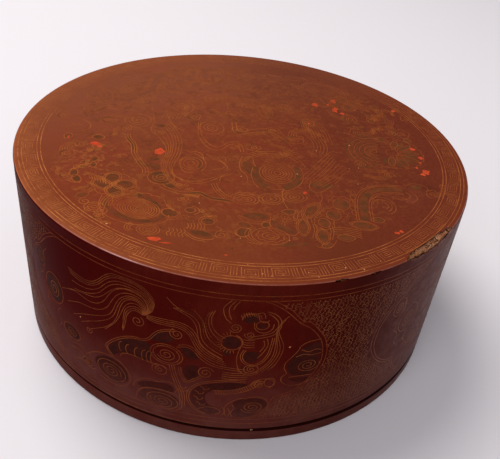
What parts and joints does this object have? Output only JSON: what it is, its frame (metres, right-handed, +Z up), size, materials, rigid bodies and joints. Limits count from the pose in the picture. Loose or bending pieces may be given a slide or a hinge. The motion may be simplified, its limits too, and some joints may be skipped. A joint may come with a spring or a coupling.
{
  "type": "round lacquer box",
  "caption": "Round lacquered wooden box: a low base with an upright collar and a deep flat-topped lid that lifts straight off it.",
  "frame": {"origin": "centre of the round foot, on the surface that the box stands on", "axes": "+Z up along the box's axis, -Y towards the front, +X to the right"},
  "size_m": [0.23, 0.23, 0.097],
  "materials": {
    "warm_lacquer": "satin worn lacquer",
    "red_lacquer": "gloss lacquer",
    "black_lacquer": "gloss lacquer",
    "gold_line": "worn gold laid in engraved lines",
    "dark_fill": "gloss filled lacquer",
    "ash_ground": "matt cloth and ash",
    "bent_wood": "bare",
    "board_wood": "bare",
    "bamboo": "bare"
  },
  "bodies": {
    "base": {"base_board_left": "board_wood", "base_board_centre": "board_wood", "base_board_right": "board_wood", "base_board_pin_1": "bamboo", "base_board_pin_2": "bamboo", "base_board_pin_3": "bamboo", "base_board_pin_4": "bamboo", "collar_hoop_outer": "bent_wood", "collar_hoop_inner": "bent_wood", "ledge_hoop": "bent_wood", "base_band_coat": "red_lacquer", "base_underside_coat": "black_lacquer", "base_lining_coat": "black_lacquer"},
    "lid": {"lid_board_left": "board_wood", "lid_board_centre": "board_wood", "lid_board_right": "board_wood", "lid_board_pin_1": "bamboo", "lid_board_pin_2": "bamboo", "lid_board_pin_3": "bamboo", "lid_board_pin_4": "bamboo", "lid_wall_hoop_outer": "bent_wood", "lid_wall_hoop_inner": "bent_wood", "lid_mouth_hoop": "bent_wood", "lid_corner_hoop": "bent_wood", "lid_top_ground": "ash_ground", "lid_side_ground": "ash_ground", "lid_top_coat": "warm_lacquer", "lid_side_coat": "red_lacquer", "lid_lining_coat": "black_lacquer"}
  },
  "joints": [
    {"name": "lid_lift", "type": "slide", "parent": "base", "child": "lid", "axis": [0, 0, 1], "range_m": [0, 0.08]}
  ]
}
